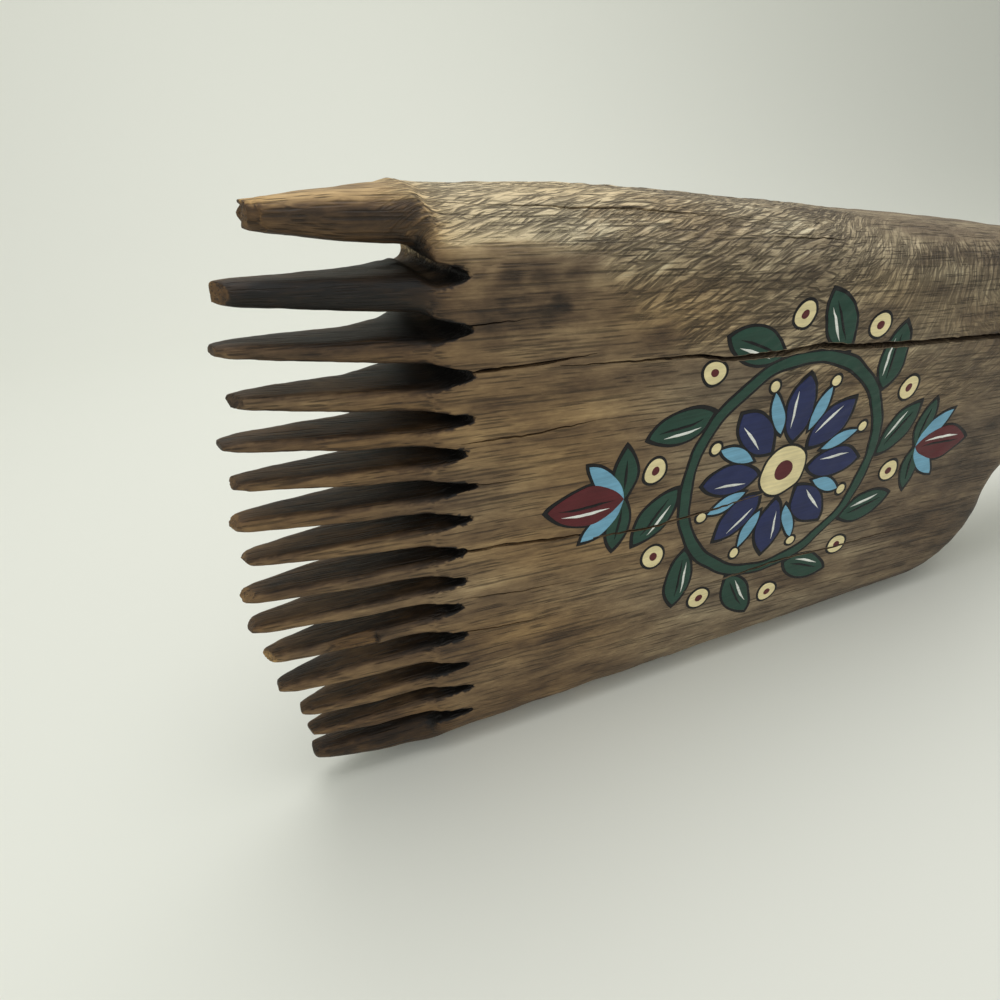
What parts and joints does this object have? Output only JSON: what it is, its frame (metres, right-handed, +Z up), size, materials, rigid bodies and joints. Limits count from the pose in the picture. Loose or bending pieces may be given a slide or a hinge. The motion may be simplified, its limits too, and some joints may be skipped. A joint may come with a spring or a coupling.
{
  "type": "weaving comb",
  "caption": "Thick hand-carved wooden weaving comb with one row of long teeth, rounded shoulders, a short handle and a painted wreath on its face",
  "frame": {"origin": "middle of the flat strip along the lower long edge, on which the comb stands", "axes": "+X along the comb from the teeth to the handle, +Z up across its width, -Y out of the painted face"},
  "size_m": [0.3738, 0.0423, 0.151],
  "materials": {
    "wood": "old hand-carved hardwood, oiled and worn, darker on the teeth",
    "paint_black": "brushed acrylic paint",
    "paint_green": "brushed acrylic paint",
    "paint_cream": "brushed acrylic paint",
    "paint_navy": "brushed acrylic paint",
    "paint_blue": "brushed acrylic paint",
    "paint_red": "brushed acrylic paint",
    "paint_white": "brushed acrylic paint"
  },
  "bodies": {
    "root": {"handle": "wood", "head_block": "wood", "paint_berries": "paint_cream", "paint_berry_dots": "paint_red", "paint_highlights": "paint_white", "paint_leaves": "paint_green", "paint_sprig_buds": "paint_red", "paint_sprig_leaves": "paint_green", "paint_sprig_outlines": "paint_black", "paint_sprig_petals": "paint_blue", "paint_star_beads": "paint_cream", "paint_star_eye": "paint_cream", "paint_star_outline": "paint_black", "paint_star_petals": "paint_navy", "paint_star_rays": "paint_blue", "paint_star_seed": "paint_red", "paint_veins": "paint_black", "paint_vine": "paint_green", "paint_wreath_outline": "paint_black", "tooth_01": "wood", "tooth_02": "wood", "tooth_03": "wood", "tooth_04": "wood", "tooth_05": "wood", "tooth_06": "wood", "tooth_07": "wood", "tooth_08": "wood", "tooth_09": "wood", "tooth_10": "wood", "tooth_11": "wood", "tooth_12": "wood", "tooth_13": "wood", "tooth_14": "wood", "tooth_15": "wood"}
  },
  "joints": []
}
